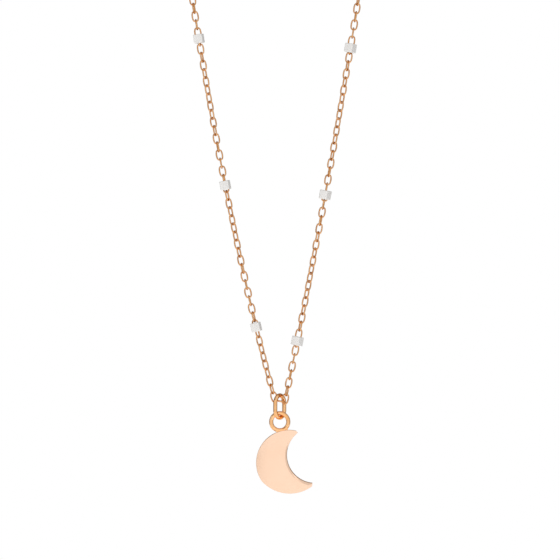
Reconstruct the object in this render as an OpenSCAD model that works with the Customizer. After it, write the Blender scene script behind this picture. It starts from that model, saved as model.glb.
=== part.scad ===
// Fine cable-chain necklace with a crescent pendant, hanging as it does on a neck or a display form.
// Origin: middle of the clasp, at the top of the loop. +Z up, -Y towards the viewer, millimetres.

/* [Chain] */
// Wire diameter of a chain link
link_wire = 0.32; // [0.28:0.01:0.36]
// Outer length of a chain link
link_length = 2.32; // [2.28:0.01:2.4]
// Outer width of a chain link
link_width = 1.5; // [1.4:0.02:1.6]
// Distance from one link's centre to the next along the taut chain
link_pitch = 1.654; // [1.6:0.002:1.66]
// Slow twist of the left strand, degrees a link
twist_left = 5.6; // [0:0.1:8]
// Slow twist of the right strand, degrees a link
twist_right = 4.463; // [0:0.001:8]

/* [Drape] */
// Slope of the left strand where it leaves the pendant, sideways over up
slope_left = 0.274; // [0.2:0.002:0.35]
// How fast the left strand steepens, per mm of chain
curve_left = 0.00887; // [0.002:0.0001:0.012]
// Length of the left strand before it turns over the neck
strand_left = 169.659; // [150:0.001:180]
// Slope of the right strand where it leaves the pendant, sideways over up
slope_right = 0.2126; // [0.2:0.002:0.35]
// How fast the right strand steepens, per mm of chain
curve_right = 0.004155; // [0.002:0.0001:0.012]
// Length of the right strand before it turns over the neck
strand_right = 168.134; // [150:0.001:180]
// Angle of the last right link from vertical
end_angle_right = 88.15; // [85:0.001:92]

/* [Beads] */
// Side of a bead
bead_size = 1.8; // [1.6:0.05:2]
// Radius of the sphere that rounds a bead's corners
bead_round = 1.26; // [1.2:0.01:1.4]
// Turn of the left beads about the chain, degrees
bead_turn_left = -15; // [-45:1:45]
// Turn of the right beads about the chain, degrees
bead_turn_right = -33; // [-45:1:45]

/* [Pendant] */
// Radius of the crescent's back and upper edge
moon_outer_r = 6.565; // [6:0.005:7]
// Radius of its flatter lower edge
moon_low_r = 7.534; // [7:0.001:8]
// Radius of its hollow edge
moon_inner_r = 5.607; // [5:0.001:6]
// Thickness of the crescent at its rim
moon_thick = 1.1; // [0.8:0.05:1.8]
// Extra thickness of the domed front
moon_dome = 0.4; // [0.1:0.05:0.8]
// Where the crescent's tips are blunted, from the centre of its outer edge
moon_tip = 3.25; // [2.8:0.05:3.4]
// Lean of the line through the two tips, degrees from vertical
moon_lean = 16.4; // [10:0.1:20]
// Wire diameter of the eyelet
eyelet_wire = 0.82; // [0.7:0.02:1]
// Radius of the eyelet's wire centre
eyelet_r = 1.71; // [1.6:0.01:2]

/* [Bail] */
// Wire diameter of the bail
bail_wire = 0.82; // [0.7:0.02:1]
// Half width of the bail, to its wire centre
bail_r = 1.6; // [1.4:0.02:1.8]
// Outer length of the bail
bail_length = 5.3; // [5:0.05:6]
// Turn of the bail about the vertical, degrees
bail_turn = 56; // [45:1:70]

/* [Clasp] */
// Radius of the clasp ring, to the centre of its tube
clasp_r = 2.2; // [2:0.05:2.5]
// Outer radius of the clasp's tube
clasp_tube = 0.6; // [0.5:0.02:0.7]
// Wall of the clasp's tube
clasp_wall = 0.18; // [0.14:0.01:0.22]
// Wire diameter of the clasp's eye and of the end ring
ring_wire = 0.5; // [0.4:0.02:0.6]
// Radius of the clasp's eye, to its wire centre
clasp_eye_r = 0.7; // [0.65:0.01:0.8]
// Radius of the end ring, to its wire centre
end_ring_r = 1.25; // [1.2:0.01:1.4]
// Radius of the jump ring, to its wire centre
jump_ring_r = 0.8; // [0.75:0.01:0.9]
// Wire diameter of the jump ring
jump_ring_wire = 0.4; // [0.3:0.02:0.5]
// Wire diameter of the clasp's spring
spring_wire = 0.13; // [0.1:0.01:0.16]
// Number of turns in the clasp's spring
spring_turns = 11; // [8:1:14]

/* [Hidden] */
$fn = 48;
wire_fn = 24;
links = 127;          // links on each side of the centre link
per_part = 18;        // links in each swinging length of chain
bead_first_left = 9;  // first bead on the left, counted from the centre link
bead_first_right = 8;
bead_rise_left = 0.45;   // from the middle of its link up to the middle of a left bead
bead_rise_right = 0.25;
bead_lowest = [10, -0.47]; // the lowest left bead's own link and rise
twist_zero_left = 14; // link that faces the viewer squarely
twist_zero_right = 6;
first_turn = 34;      // the first right link turns this much more, clear of the bail
part_count = 7;
last_part = part_count - 1;

link_hw = (link_width - link_wire) / 2;
link_straight = link_length - link_width;

// The centre link lies across the bottom of the loop, its right end lower. The drop brings the clasp to height 0.
loop_drop = 193.899;
mid_tilt = 12;
mid_end = (link_length - link_wire) / 2 * [cos(mid_tilt), -sin(mid_tilt)];
hook = (link_length - link_wire - link_pitch) / 2; // from a link's wire to the point where it turns on its neighbour

function slope(t0, k, s) = atan(t0 / (1 + k * s));
first_left = slope(slope_left, curve_left, link_pitch / 2);
first_right = slope(slope_right, curve_right, link_pitch / 2);
start_left = [hook * sin(first_left), -loop_drop - hook * cos(first_left)] - mid_end;
start_right = [-hook * sin(first_right), -loop_drop - hook * cos(first_right)] + mid_end;
function link_angle(i, t0, k, strand, last) =
    let (s = (i - 0.5) * link_pitch, top = slope(t0, k, strand))
    s < strand ? slope(t0, k, s) : top - (top + last) * (s - strand) / (links * link_pitch - strand);
function route(start, side, a) =
    [for (i = 0, p = start; i <= links; p = i < links ? p + link_pitch * [side * sin(a[i]), cos(a[i])] : p, i = i + 1) p];

angles_left = [for (i = [1:links]) link_angle(i, slope_left, curve_left, strand_left, 90)];
angles_right = [for (i = [1:links]) link_angle(i, slope_right, curve_right, strand_right, end_angle_right)];
route_left = route(start_left, -1, angles_left);
route_right = route(start_right, 1, angles_right);

bead_gap = 0.05;
slot_long = link_width + 2 * bead_gap;
slot_short = link_wire + 2 * bead_gap;

bail_straight = bail_length - bail_wire - 2 * bail_r;
bail_seat = 0.75;   // from the centre link up to the underside of the bail
ring_gap = 0.08;     // between the bail and the eyelet that hangs on it
bail_top = bail_seat + bail_wire / 2 - loop_drop;
bail_bottom = bail_top - bail_straight - 2 * bail_r;
eyelet_z = bail_bottom + (bail_wire + eyelet_wire) / 2 + ring_gap - eyelet_r;
moon_x = 1.835;     // crescent's outer centre, right of the eyelet
moon_drop = 8.191;  // and below it
moon_low = [0.165, 1.386];    // centre of the lower edge, from the outer centre
moon_hollow = [5.216, 1.573]; // and of the hollow edge
solder_r = 1.2;
solder_gap = 0.02;
solder_x = 0.45;
solder_h = 0.7;
moon_back = 0.1;    // the domed front carries the weight forward, so the plate sits this far back
dome_r = (moon_outer_r * moon_outer_r + moon_dome * moon_dome) / (2 * moon_dome);

bore_r = clasp_tube - clasp_wall;
bolt_gap = 0.05;
bolt_r = bore_r - bolt_gap;
mouth_over = 5;      // how far the bore runs past the mouth, degrees
mouth_start = 20;   // the clasp's opening, degrees below level on the right
mouth_end = 75;
bolt_start = 14;
bolt_end = 108;
hollow_start = 11;
hollow_end = 204;
tab_at = 100;
slot_from = 95;
slot_to = 163;
tab_r = 0.14;
tab_slot = 0.36;
tab_reach = 3.2;
knob_r = 0.32;
knob_h = 0.4;
knob_sink = 0.1;     // how far the tab enters its knob
eye_stand = 0.55;   // from the clasp's tube to the middle of its eye
eye_x = -(clasp_r + clasp_tube + eye_stand);
jump_x = -4.35;
end_ring_x = 2.52;
spring_steps = 12;  // straight pieces in one turn of the spring
spring_sides = 6;
spring_gap = 0.04;
spring_end_gap = 2.5;
spring_r = bore_r - spring_wire / 2 - spring_gap;
spring_from = bolt_end + spring_end_gap;
spring_to = hollow_end - spring_end_gap;
box_big = 40;

// Round wire bent on radius r, lying flat about Z, from 0 to the angle a.
module wire_arc(r, wire, a = 180) rotate_extrude(angle = a) translate([r, 0]) circle(d = wire, $fn = wire_fn);

// Closed ring with two straight sides, long axis Z, facing -Y.
module oval(hw, straight, wire)
    rotate([90, 0, 0])
        for (s = [0, 180]) rotate([0, 0, s]) {
            translate([0, straight / 2]) wire_arc(hw, wire);
            translate([hw, straight / 2]) rotate([90, 0, 0]) cylinder(d = wire, h = straight, $fn = wire_fn);
        }

// Round closed ring about Z.
module ring(r, wire) rotate_extrude() translate([r, 0]) circle(d = wire, $fn = wire_fn);

// Puts its child on link i of a strand, along the chain.
module on_link(i, path, side, angle)
    translate([(path[i - 1][0] + path[i][0]) / 2, 0, (path[i - 1][1] + path[i][1]) / 2])
        rotate([0, side * angle[i - 1], 0]) children();

function turn_left(i) = twist_left * (i - twist_zero_left) + 90 * (i % 2);
function turn_right(i) = twist_right * (i - twist_zero_right) + 90 * ((i + 1) % 2) + (i == 1 ? first_turn : 0);

module chain_left(part)
    for (i = [1 + (part - 1) * per_part : part > last_part ? links : part * per_part])
        on_link(i, route_left, -1, angles_left) rotate([0, 0, turn_left(i)]) oval(link_hw, link_straight, link_wire);

module chain_right(part)
    for (i = [1 + (part - 1) * per_part : part > last_part ? links : part * per_part])
        on_link(i, route_right, 1, angles_right) rotate([0, 0, turn_right(i)]) oval(link_hw, link_straight, link_wire);

// Small rounded cube closed over one link, slotted for that link and the ends of its neighbours.
module bead(turn, face)
    difference() {
        intersection() {
            rotate([0, 0, face]) cube(bead_size, center = true);
            sphere(bead_round);
        }
        rotate([0, 0, turn]) {
            cube([slot_long, slot_short, 2 * bead_size], center = true);
            cube([slot_short + 2 * bead_gap, slot_long, 2 * bead_size], center = true);
        }
    }

module bead_left(n)
    let (i = n == 1 ? bead_lowest[0] : bead_first_left + (n - 1) * per_part, rise = n == 1 ? bead_lowest[1] : bead_rise_left)
        on_link(i, route_left, -1, angles_left) translate([0, 0, rise]) bead(turn_left(i), bead_turn_left);

module bead_right(n)
    let (i = bead_first_right + (n - 1) * per_part)
        on_link(i, route_right, 1, angles_right) translate([0, 0, bead_rise_right]) bead(turn_right(i), bead_turn_right);

module centre_link() color("#e8b48c")
    translate([0, 0, -loop_drop]) rotate([0, mid_tilt, 0]) rotate([0, 90, 0]) rotate([0, 0, 90]) oval(link_hw, link_straight, link_wire);

module bail_ring() color("#e0a56f")
    translate([0, 0, (bail_top + bail_bottom) / 2]) rotate([0, 0, bail_turn]) oval(bail_r, bail_straight, bail_wire);

module pendant_eyelet() color("#e0a56f")
    translate([0, 0, eyelet_z]) rotate([90, 0, 0]) {
        ring(eyelet_r, eyelet_wire);
        difference() {
            translate([solder_x, -eyelet_r, 0]) cylinder(r = solder_r, h = solder_h, center = true);
            cylinder(r = eyelet_r, h = box_big, center = true);
            translate([moon_x, -moon_drop, 0]) cylinder(r = moon_outer_r + solder_gap, h = box_big, center = true);
        }
    }

module moon_pendant($fn = 160) color("#f3c9a8")
    translate([moon_x, moon_back, eyelet_z - moon_drop]) rotate([90, 0, 0])
        difference() {
            intersection() {
                translate([0, 0, -moon_thick / 2]) cylinder(r = moon_outer_r, h = moon_thick + 2 * moon_dome);
                translate(moon_low) cylinder(r = moon_low_r, h = box_big, center = true);
                translate([0, 0, moon_thick / 2 + moon_dome - dome_r]) sphere(dome_r);
                rotate([0, 0, moon_lean]) translate([moon_tip - box_big / 2, 0, 0]) cube(box_big, center = true);
            }
            translate(moon_hollow) cylinder(r = moon_inner_r, h = box_big, center = true);
            translate([-moon_x, moon_drop, 0]) cylinder(r = eyelet_r + eyelet_wire / 2 + solder_gap, h = box_big, center = true);
        }

// Clasp angles run clockwise from level on the right, as seen from the front.
module clasp_turn(a) rotate([0, a, 0]) rotate([90, 0, 0]) mirror([0, 1, 0]) children();

module tube_arc(r, from, to) clasp_turn(from) rotate_extrude(angle = to - from) translate([clasp_r, 0]) circle(r = r, $fn = wire_fn);

module clasp_body() color("#e0a56f")
    difference() {
        union() {
            tube_arc(clasp_tube, mouth_end, 360 + mouth_start);
            translate([eye_x, 0, 0]) rotate([90, 0, 0]) ring(clasp_eye_r, ring_wire);
        }
        tube_arc(bore_r, mouth_end - mouth_over, hollow_end);
        tube_arc(bore_r, 360 + hollow_start, 360 + mouth_start + mouth_over);
        clasp_turn(slot_from) rotate_extrude(angle = slot_to - slot_from)
            translate([clasp_r, -tab_slot / 2]) square([2 * clasp_tube, tab_slot]);
    }

module clasp_bolt() color("#d99a63") {
    tube_arc(bolt_r, bolt_start, bolt_end);
    clasp_turn(tab_at) rotate([0, 90, 0]) {
        translate([0, 0, clasp_r]) cylinder(r = tab_r, h = tab_reach - clasp_r, $fn = wire_fn);
        translate([0, 0, tab_reach - knob_sink]) cylinder(r = knob_r, h = knob_h, $fn = wire_fn);
    }
}

// A closed coil bent round the clasp ring, as one swept tube.
module clasp_spring() {
    n = spring_turns * spring_steps;
    // Centre of the wire at step j, and a frame across it.
    function along(j) = spring_from + (spring_to - spring_from) * j / n;
    function out(j) = [cos(along(j)), 0, -sin(along(j))];
    function wind(j) = 360 * j / spring_steps;
    function normal(j) = out(j) * cos(wind(j)) + [0, 1, 0] * sin(wind(j));
    function centre(j) = out(j) * clasp_r + normal(j) * spring_r;
    function heading(j) = let (d = centre(j + 0.5) - centre(j - 0.5)) d / norm(d);
    points = [for (j = [0:n], k = [0:spring_sides - 1])
        let (u = normal(j), v = cross(heading(j), u), a = 360 * k / spring_sides)
            centre(j) + spring_wire / 2 * (u * cos(a) + v * sin(a))];
    faces = concat(
        [[for (k = [0:spring_sides - 1]) k]],
        [for (j = [0:n - 1], k = [0:spring_sides - 1])
            let (a = j * spring_sides + k, b = j * spring_sides + (k + 1) % spring_sides)
                [a, a + spring_sides, b + spring_sides]],
        [for (j = [0:n - 1], k = [0:spring_sides - 1])
            let (a = j * spring_sides + k, b = j * spring_sides + (k + 1) % spring_sides)
                [a, b + spring_sides, b]],
        [[for (k = [spring_sides - 1:-1:0]) n * spring_sides + k]]);
    color("#b9bcc0") polyhedron(points = points, faces = faces);
}

module clasp_jump_ring() color("#e0a56f") translate([jump_x, 0, 0]) ring(jump_ring_r, jump_ring_wire);

module end_ring() color("#e0a56f") translate([end_ring_x, 0, 0]) ring(end_ring_r, ring_wire);

moon_pendant();
pendant_eyelet();
bail_ring();
centre_link();
chain_left(1);  // chain_left_1
chain_left(2);  // chain_left_2
chain_left(3);  // chain_left_3
chain_left(4);  // chain_left_4
chain_left(5);  // chain_left_5
chain_left(6);  // chain_left_6
chain_left(7);  // chain_left_7
chain_right(1);  // chain_right_1
chain_right(2);  // chain_right_2
chain_right(3);  // chain_right_3
chain_right(4);  // chain_right_4
chain_right(5);  // chain_right_5
chain_right(6);  // chain_right_6
chain_right(7);  // chain_right_7
bead_left(1);  // bead_left_1
bead_left(2);  // bead_left_2
bead_left(3);  // bead_left_3
bead_left(4);  // bead_left_4
bead_left(5);  // bead_left_5
bead_left(6);  // bead_left_6
bead_left(7);  // bead_left_7
bead_right(1);  // bead_right_1
bead_right(2);  // bead_right_2
bead_right(3);  // bead_right_3
bead_right(4);  // bead_right_4
bead_right(5);  // bead_right_5
bead_right(6);  // bead_right_6
bead_right(7);  // bead_right_7
clasp_body();
clasp_bolt();
clasp_spring();
clasp_jump_ring();
end_ring();
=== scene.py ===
import math
import bpy
from mathutils import Matrix, Vector


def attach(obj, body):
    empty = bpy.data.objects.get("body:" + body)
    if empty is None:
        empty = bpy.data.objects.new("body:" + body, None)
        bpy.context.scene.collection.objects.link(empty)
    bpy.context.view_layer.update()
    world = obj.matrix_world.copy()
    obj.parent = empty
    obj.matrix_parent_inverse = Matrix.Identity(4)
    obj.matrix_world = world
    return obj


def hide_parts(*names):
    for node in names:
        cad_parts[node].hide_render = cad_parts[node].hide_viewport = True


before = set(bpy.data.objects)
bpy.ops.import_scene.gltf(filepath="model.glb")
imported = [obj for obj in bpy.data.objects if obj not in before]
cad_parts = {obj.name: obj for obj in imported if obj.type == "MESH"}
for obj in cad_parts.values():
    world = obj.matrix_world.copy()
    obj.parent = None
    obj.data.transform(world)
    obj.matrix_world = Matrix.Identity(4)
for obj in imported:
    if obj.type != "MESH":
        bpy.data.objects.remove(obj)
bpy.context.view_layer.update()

MM = 0.001

# ---------------------------------------- sizes, as in the part's source, mm
LINKS = 127      # a side, not counting the centre link
PER_PART = 18    # links in each part of a strand
PARTS = 7        # the last part takes one link more
LINK_WIRE = 0.32
LINK_LENGTH = 2.32
LINK_WIDTH = 1.5
PITCH = 1.654
LOOP_DROP = 193.899                            # from the clasp down to the centre link
MID_TILT = math.radians(12)                    # the centre link's lean
HOOK = (LINK_LENGTH - LINK_WIRE - PITCH) / 2   # from a turning point to a link's end
RIGHT_ANGLE = math.pi / 2
# Each strand: its slope and how the slope fades, where the top arc starts and the lean it ends on,
# the twist for each link and the link it counts from, and how its beads sit.
LEFT = dict(side=-1, slope=0.274, curve=0.00887, strand=169.659, last=90.0,
            twist=5.6, zero=14, odd=1, first_turn=0,
            bead=9, bead_rise=0.45, bead_turn=-15)
RIGHT = dict(side=1, slope=0.2126, curve=0.004155, strand=168.134, last=88.15,
             twist=4.463, zero=6, odd=0, first_turn=34,
             bead=8, bead_rise=0.25, bead_turn=-33)
LOWEST_LEFT_BEAD = (10, -0.47)   # its link, and how far it sits above the middle of that link
BEAD = 1.8
BEAD_GAP = 0.05    # between a bead's slot and its link
BEAD_SOFT = 0.17   # softness of the bead's edges

# The crescent's edges are arcs: right and up from the middle of the outer one, then the radius.
MOON_OUTER_R = 6.565
MOON_LOW = (0.165, 1.386, 7.534)
MOON_HOLLOW = (5.216, 1.573, 5.607)
MOON_LEAN = math.radians(16.4)
MOON_HALF_SWEEP = math.radians(68.3)   # half the angle from tip to tip, about the hollow's middle
MOON_THICK = 1.1
MOON_DOME = 0.4
MOON_BACK = 0.1                        # how far behind the eyelet's plane the plate's middle is
MOON_MIDDLE = (1.835, -206.22)         # the outer arc's middle in the frame


# ---------------------------------------- small helpers
def none_selected():
    if bpy.context.object and bpy.context.object.mode != "OBJECT":
        bpy.ops.object.mode_set(mode="OBJECT")
    bpy.ops.object.select_all(action="DESELECT")


def only(obj):
    none_selected()
    obj.select_set(True)
    bpy.context.view_layer.objects.active = obj
    return obj


def new_piece(name):
    """Names the primitive just added, and takes its place and turn into its mesh."""
    obj = bpy.context.object
    obj.name = name
    obj.data.name = name
    only(obj)
    bpy.ops.object.transform_apply(location=True, rotation=True, scale=True)
    return obj


def add_modifier(obj, kind, **values):
    m = obj.modifiers.new(kind.title(), kind)
    for key, value in values.items():
        setattr(m, key, value)
    return m


def apply_modifiers(obj):
    only(obj)
    for m in list(obj.modifiers):
        bpy.ops.object.modifier_apply(modifier=m.name)


def smooth(obj, angle):
    only(obj)
    bpy.ops.object.shade_smooth_by_angle(angle=math.radians(angle))


def rounder(obj, levels):
    return add_modifier(obj, "SUBSURF", levels=levels, render_levels=levels)


def placed(obj, matrix):
    """Moves the mesh itself, so that the object stays at the origin."""
    obj.data.transform(matrix)
    obj.data.update()
    return obj


def copy_of(obj, name):
    twin = obj.copy()
    twin.data = obj.data.copy()
    twin.name = name
    twin.data.name = name
    bpy.context.collection.objects.link(twin)
    return twin


def joined(objs, name):
    none_selected()
    for o in objs:
        o.select_set(True)
    bpy.context.view_layer.objects.active = objs[0]
    bpy.ops.object.join()
    obj = bpy.context.object
    obj.name = name
    obj.data.name = name
    return obj


def finish_piece(obj, material, node, body):
    obj.data.materials.clear()
    obj.data.materials.append(material)
    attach(obj, body)
    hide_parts(node)
    return obj


def discard(obj):
    bpy.data.objects.remove(obj, do_unlink=True)


# ---------------------------------------- where the links lie
def chain_slope(s, strand):
    return math.atan(strand["slope"] / (1 + strand["curve"] * s))


def link_angle(i, strand):
    s = (i - 0.5) * PITCH
    if s < strand["strand"]:
        return chain_slope(s, strand)
    top = chain_slope(strand["strand"], strand)
    along_arc = (s - strand["strand"]) / (LINKS * PITCH - strand["strand"])
    return top - (top + math.radians(strand["last"])) * along_arc


def lay_strand(strand):
    """The turning points between links, from the centre link up, and each link's lean."""
    side = strand["side"]
    first = chain_slope(PITCH / 2, strand)
    half = (LINK_LENGTH - LINK_WIRE) / 2
    x = side * half * math.cos(MID_TILT) - side * HOOK * math.sin(first)
    z = -LOOP_DROP - side * half * math.sin(MID_TILT) - HOOK * math.cos(first)
    points, leans = [(x, z)], []
    for i in range(1, LINKS + 1):
        a = link_angle(i, strand)
        x += PITCH * side * math.sin(a)
        z += PITCH * math.cos(a)
        points.append((x, z))
        leans.append(a)
    strand["points"], strand["leans"] = points, leans


def link_turn(i, strand):
    """How far link i is turned about the chain: neighbours at right angles, with a slow twist."""
    crossed = 90 if i % 2 == strand["odd"] else 0
    extra = strand["first_turn"] if i == 1 else 0
    return strand["twist"] * (i - strand["zero"]) + crossed + extra


def on_link(i, strand, turn):
    (xa, za), (xb, zb) = strand["points"][i - 1], strand["points"][i]
    return (Matrix.Translation(((xa + xb) / 2 * MM, 0, (za + zb) / 2 * MM))
            @ Matrix.Rotation(strand["side"] * strand["leans"][i - 1], 4, "Y")
            @ Matrix.Rotation(math.radians(turn), 4, "Z"))


lay_strand(LEFT)
lay_strand(RIGHT)


# ---------------------------------------- finishes
def nodes_of(name):
    mat = bpy.data.materials.new(name)
    mat.use_nodes = True
    tree = mat.node_tree
    return mat, tree.nodes, tree.links, tree.nodes["Principled BSDF"]


NOISE_DETAIL = 3.0
TONE_GRAIN = 0.4        # the drift of tone is this much coarser than the haze
TONE_SPAN = (0.3, 0.7)  # the part of the noise that the tones are spread over


def mottled(nodes, links, scale):
    """Fine uneven noise in the piece's own coordinates."""
    coords = nodes.new("ShaderNodeTexCoord")
    noise = nodes.new("ShaderNodeTexNoise")
    noise.inputs["Scale"].default_value = scale
    noise.inputs["Detail"].default_value = NOISE_DETAIL
    links.new(coords.outputs["Object"], noise.inputs["Vector"])
    return noise


def tones(nodes, links, source, low, high):
    ramp = nodes.new("ShaderNodeValToRGB")
    for stop, place, colour in zip(ramp.color_ramp.elements, TONE_SPAN, (low, high)):
        stop.position = place
        stop.color = (*colour, 1)
    links.new(source, ramp.inputs["Fac"])
    return ramp


def between(nodes, links, source, low, high):
    span = nodes.new("ShaderNodeMapRange")
    span.inputs["To Min"].default_value = low
    span.inputs["To Max"].default_value = high
    links.new(source, span.inputs["Value"])
    return span


def worked_metal(name, dark, light, rough, grain, metallic=1.0, rim=(1, 1, 1)):
    """Polished metal: a slight drift of tone, hand-polish haze, and the tint kept at its rims."""
    mat, nodes, links, shader = nodes_of(name)
    shader.inputs["Metallic"].default_value = metallic
    shader.inputs["Specular Tint"].default_value = (*rim, 1)
    drift = mottled(nodes, links, grain * TONE_GRAIN)
    tone = tones(nodes, links, drift.outputs["Fac"], dark, light)
    links.new(tone.outputs["Color"], shader.inputs["Base Color"])
    haze = between(nodes, links, mottled(nodes, links, grain).outputs["Fac"], *rough)
    links.new(haze.outputs["Result"], shader.inputs["Roughness"])
    return mat


ROSE_RIM = (0.88, 0.52, 0.26)
rose_chain = worked_metal("rose_gold_chain", (0.64, 0.315, 0.12), (0.88, 0.51, 0.25),
                          (0.09, 0.18), 2500, rim=ROSE_RIM)
rose_ring = worked_metal("rose_gold_ring", (0.93, 0.49, 0.205), (0.99, 0.61, 0.32),
                         (0.08, 0.16), 1400, rim=ROSE_RIM)
rose_moon = worked_metal("rose_gold_polished", (0.96, 0.665, 0.485), (0.975, 0.70, 0.525),
                         (0.15, 0.24), 500, rim=ROSE_RIM)
white_bead = worked_metal("white_metal_satin", (0.92, 0.91, 0.895), (0.95, 0.94, 0.925),
                          (0.30, 0.42), 700, metallic=0.3)
spring_wire = worked_metal("spring_steel_drawn", (0.55, 0.55, 0.57), (0.68, 0.68, 0.70),
                           (0.2, 0.35), 3000)


# ---------------------------------------- chain
WIRE_SIDES = 4
RING_CORNERS = 12
WIRE_SHRINK = 0.68    # a four-sided cage closes to this share of its radius when it is rounded
RING_SHRINK = 0.955   # and a twelve-cornered ring to this share
LINK_ROUNDING = 2     # levels of rounding
ALL_SMOOTH = 180


def model_link():
    """One oval link: a low ring pulled apart into an oval, to be rounded."""
    none_selected()
    bpy.ops.mesh.primitive_torus_add(
        major_segments=RING_CORNERS, minor_segments=WIRE_SIDES,
        major_radius=(LINK_WIDTH - LINK_WIRE) / 2 / RING_SHRINK * MM,
        minor_radius=LINK_WIRE / 2 / WIRE_SHRINK * MM,
        rotation=(RIGHT_ANGLE, 0, 0))
    obj = new_piece("link_pattern")
    stretch = (LINK_LENGTH - LINK_WIDTH) / 2 * MM
    for n, v in enumerate(obj.data.vertices):
        corner = n // WIRE_SIDES
        on_the_side = corner % (RING_CORNERS // 2) == 0
        if not on_the_side:
            v.co.z += math.copysign(stretch, v.co.z)
    return obj


link_pattern = model_link()


def chain_part(strand, part, name):
    first = 1 + (part - 1) * PER_PART
    last = LINKS if part == PARTS else part * PER_PART
    links = []
    for i in range(first, last + 1):
        link = copy_of(link_pattern, f"{name}_{i}")
        links.append(placed(link, on_link(i, strand, link_turn(i, strand))))
    obj = joined(links, f"{name}_links")
    rounder(obj, LINK_ROUNDING)
    smooth(obj, ALL_SMOOTH)
    return obj


def body_for(part):
    return "top_arc" if part == PARTS else f"level_{part}"


for strand, word in ((LEFT, "left"), (RIGHT, "right")):
    for part in range(1, PARTS + 1):
        node = f"chain_{word}_{part}"
        links = chain_part(strand, part, node)
        finish_piece(links, rose_chain, node, body_for(part))

middle = placed(copy_of(link_pattern, "centre_link_oval"),
                Matrix.Translation((0, 0, -LOOP_DROP * MM)) @ Matrix.Rotation(MID_TILT, 4, "Y")
                @ Matrix.Rotation(RIGHT_ANGLE, 4, "Y") @ Matrix.Rotation(RIGHT_ANGLE, 4, "Z"))
rounder(middle, LINK_ROUNDING)
smooth(middle, ALL_SMOOTH)
finish_piece(middle, rose_chain, "centre_link", "middle_link")
discard(link_pattern)


# ---------------------------------------- beads
BEVEL_STEPS = 4
BEVEL_CURVE = 0.6
BEAD_SMOOTH = 35


def box_at_middle(name, sides, turn):
    none_selected()
    bpy.ops.mesh.primitive_cube_add(size=1)
    obj = new_piece(name)
    scaled = Matrix.Diagonal((*[side * MM for side in sides], 1))
    return placed(obj, Matrix.Rotation(math.radians(turn), 4, "Z") @ scaled)


def cut_away(obj, cutters):
    for cutter in cutters:
        add_modifier(obj, "BOOLEAN", operation="DIFFERENCE", solver="EXACT", object=cutter)
    apply_modifiers(obj)
    for cutter in cutters:
        discard(cutter)


def model_bead(name, turn, face_turn):
    """A little soft-edged cube, slotted through for its link and the ends of the next ones."""
    bead = box_at_middle(name, (BEAD, BEAD, BEAD), face_turn)
    add_modifier(bead, "BEVEL", width=BEAD_SOFT * MM, segments=BEVEL_STEPS, profile=BEVEL_CURVE)
    apply_modifiers(bead)
    through = 2 * BEAD
    wide = LINK_WIDTH + 2 * BEAD_GAP
    narrow = LINK_WIRE + 2 * BEAD_GAP
    cut_away(bead, [box_at_middle("slot_along", (wide, narrow, through), turn),
                    box_at_middle("slot_across", (narrow + 2 * BEAD_GAP, wide, through), turn)])
    smooth(bead, BEAD_SMOOTH)
    return bead


for strand, word in ((LEFT, "left"), (RIGHT, "right")):
    for n in range(1, PARTS + 1):
        link, rise = strand["bead"] + (n - 1) * PER_PART, strand["bead_rise"]
        if strand is LEFT and n == 1:
            link, rise = LOWEST_LEFT_BEAD
        bead = model_bead(f"bead_{word}_{n}_cube", link_turn(link, strand),
                          strand["bead_turn"])
        placed(bead, on_link(link, strand, 0) @ Matrix.Translation((0, 0, rise * MM)))
        finish_piece(bead, white_bead, f"bead_{word}_{n}", body_for(n))


# ---------------------------------------- crescent
def way_out(circle, start, heading):
    """Distance from a point inside a circle, along a heading, to the circle."""
    across = Vector(start) - Vector(circle[:2])
    b = across.dot(heading)
    return -b + math.sqrt(b * b - across.length_squared + circle[2] ** 2)


def dome_height(x, z):
    """How far the front stands out over the outer arc's plane: a shallow cap of a big ball."""
    ball = (MOON_OUTER_R ** 2 + MOON_DOME ** 2) / (2 * MOON_DOME)
    return math.sqrt(max(ball ** 2 - x * x - z * z, 0)) - ball + MOON_DOME


BEVEL_TOP = 0.28    # width of the polished bevel along the hollow edge, at the upper tip
BEVEL_LOW = 0.62    # and at the lower one
BEVEL_SHARE = 0.4   # and the most of the crescent's width it may take
# The bevel's own hollow line: distance from the wall and depth, as shares of its width.
BEVEL_LINE = ((0.06, 0.74), (0.2, 0.5), (0.32, 0.38))
HOLD = 0.03         # a narrow strip beside each edge keeps it crisp
HOLD_DROP = 0.6     # how far that strip drops on the bevel, as a share of its width
EDGE = 0.09         # softness of the other edges
EDGE_SHARE = 0.2    # and the most of the crescent's width it may take
EDGE_ROUND = 0.3    # where the middle of a soft edge lies, as a share of it
FACE_STEPS = 10
STATIONS = 72
MERGE = 0.001       # points nearer than this become one
MOON_SMOOTH = 24


def section(width, share):
    """Once round the crescent's cross-section.

    Each point is the distance from the hollow edge, the depth, and 1 on the domed front.
    """
    bevel = min(BEVEL_TOP + (BEVEL_LOW - BEVEL_TOP) * share, BEVEL_SHARE * width)
    edge = min(EDGE, EDGE_SHARE * width)
    start, stop = bevel + HOLD, width - edge - HOLD
    slope = [(bevel * out, bevel * deep, 1) for out, deep in BEVEL_LINE]
    front = [(start + (stop - start) * k / FACE_STEPS, 0, 1) for k in range(FACE_STEPS + 1)]
    return ([(0, bevel, 1)]
            + slope
            + [(bevel - HOLD, HOLD * HOLD_DROP, 1), (bevel, 0, 1)]
            + front
            + [(width - edge, 0, 1), (width - edge * EDGE_ROUND, edge * EDGE_ROUND, 1),
               (width, edge, 1), (width, MOON_THICK - edge, 0), (width - edge, MOON_THICK, 0),
               (width / 2, MOON_THICK, 0), (edge, MOON_THICK, 0), (0, MOON_THICK - edge, 0)])


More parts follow.
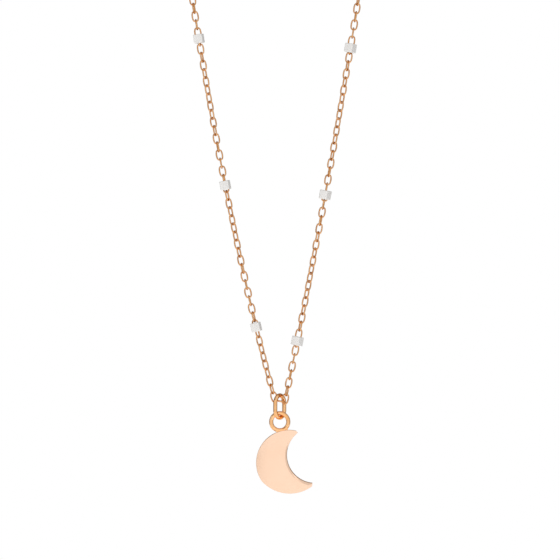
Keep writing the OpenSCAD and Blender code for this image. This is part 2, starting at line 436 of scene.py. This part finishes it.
def model_moon():
    """A sheet of small faces rolled into the crescent's section, from tip to tip."""
    rounds = len(section(1, 0))
    none_selected()
    bpy.ops.mesh.primitive_grid_add(x_subdivisions=rounds, y_subdivisions=STATIONS, size=2)
    obj = new_piece("moon_crescent")
    centre = Vector(MOON_HOLLOW[:2])
    for v in obj.data.vertices:
        k = round((v.co.x + 1) / 2 * rounds) % rounds
        share = (v.co.y + 1) / 2
        angle = math.pi + MOON_LEAN + MOON_HALF_SWEEP * (2 * share - 1)
        heading = Vector((math.cos(angle), math.sin(angle)))
        outer = min(way_out((0, 0, MOON_OUTER_R), centre, heading),
                    way_out(MOON_LOW, centre, heading))
        out, deep, domed = section(outer - MOON_HOLLOW[2], share)[k]
        place = centre + heading * (MOON_HOLLOW[2] + out)
        lift = dome_height(place.x, place.y) if domed else 0
        v.co = Vector((MOON_MIDDLE[0] + place.x,
                       MOON_BACK - MOON_THICK / 2 - lift + deep,
                       MOON_MIDDLE[1] + place.y)) * MM
    only(obj)
    bpy.ops.object.mode_set(mode="EDIT")
    bpy.ops.mesh.select_all(action="SELECT")
    bpy.ops.mesh.remove_doubles(threshold=MERGE * MM)
    bpy.ops.mesh.fill_holes(sides=0)
    bpy.ops.mesh.select_all(action="SELECT")
    bpy.ops.mesh.normals_make_consistent(inside=False)
    bpy.ops.object.mode_set(mode="OBJECT")
    smooth(obj, MOON_SMOOTH)
    return obj


finish_piece(model_moon(), rose_moon, "moon_pendant", "pendant")


# ---------------------------------------- the CAD nodes kept as they are
def coat(node, material):
    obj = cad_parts[node]
    obj.data.materials.clear()
    obj.data.materials.append(material)


for node in ("bail_ring", "pendant_eyelet", "clasp_body", "clasp_bolt",
             "clasp_jump_ring", "end_ring"):
    coat(node, rose_ring)
coat("clasp_spring", spring_wire)


# ---------------------------------------- floor, light and camera
FLOOR_R = 0.42
FLOOR_DROP = 0.32
FLOOR_PALE = (0.9, 0.9, 0.9, 1)
FLOOR_ROUGH = 0.8

none_selected()
bpy.ops.mesh.primitive_circle_add(vertices=96, radius=FLOOR_R, fill_type="NGON",
                                  location=(0, 0, -FLOOR_DROP))
floor = bpy.context.object
floor.name = "studio_floor"
floor_paint, *_, shader = nodes_of("pale_floor")
shader.inputs["Base Color"].default_value = FLOOR_PALE
shader.inputs["Roughness"].default_value = FLOOR_ROUGH
floor.data.materials.append(floor_paint)


def softbox(name, place, aim, size, glow):
    """A soft lamp whose face is as bright as the glow says. The camera doesn't see it."""
    light = bpy.data.lights.new(name, "AREA")
    light.shape = "RECTANGLE"
    light.size, light.size_y = size
    light.energy = glow * math.pi * size[0] * size[1]
    obj = bpy.data.objects.new(name, light)
    obj.location = place
    obj.rotation_euler = (Vector(aim) - Vector(place)).to_track_quat("-Z", "Y").to_euler()
    obj.visible_camera = False
    bpy.context.collection.objects.link(obj)


MIDDLE = (0, 0, -0.17)
softbox("front_wall", (0.12, -1.1, -0.15), MIDDLE, (0.95, 1.5), 0.76)
softbox("left_wall", (-1.0, -0.75, -0.12), MIDDLE, (1.1, 1.5), 0.7)
softbox("right_wall", (1.0, -0.5, -0.1), MIDDLE, (1.1, 1.6), 0.5)
softbox("top_panel", (0.25, -0.45, 0.8), MIDDLE, (1.6, 1.1), 0.5)
softbox("floor_glow", (0, 0, -0.25), (0, 0, -0.4), (1.2, 1.2), 0.6)

TENT_SEEN = (1, 1, 1, 1)
TENT_MIRRORED = (1, 0.97, 0.94, 1)
MIRRORED_GLOW = 0.31
world = bpy.data.worlds.new("white_tent")
bpy.context.scene.world = world
world.use_nodes = True
tent = world.node_tree
sky = tent.nodes["Background"]
sky.inputs["Color"].default_value = TENT_SEEN
sky.inputs["Strength"].default_value = 1.0
dim = tent.nodes.new("ShaderNodeBackground")
dim.inputs["Color"].default_value = TENT_MIRRORED
dim.inputs["Strength"].default_value = MIRRORED_GLOW
seen = tent.nodes.new("ShaderNodeLightPath")
either = tent.nodes.new("ShaderNodeMixShader")
tent.links.new(seen.outputs["Is Camera Ray"], either.inputs[0])
tent.links.new(dim.outputs[0], either.inputs[1])
tent.links.new(sky.outputs[0], either.inputs[2])
tent.links.new(either.outputs[0], tent.nodes["World Output"].inputs["Surface"])

FAR = 0.8            # from the camera to the necklace, m
SPAN = 0.112         # the width it sees there, m
SENSOR = 36          # mm
AIM = (0.00005, -0.16967)
camera_data = bpy.data.cameras.new("camera")
camera_data.sensor_width = SENSOR
camera_data.lens = SENSOR * FAR / SPAN
camera_data.clip_end = 10
camera = bpy.data.objects.new("camera", camera_data)
camera.location = (AIM[0], -FAR, AIM[1])
camera.rotation_euler = (RIGHT_ANGLE, 0, 0)
bpy.context.collection.objects.link(camera)
bpy.context.scene.camera = camera
bpy.context.scene.view_settings.view_transform = "Standard"
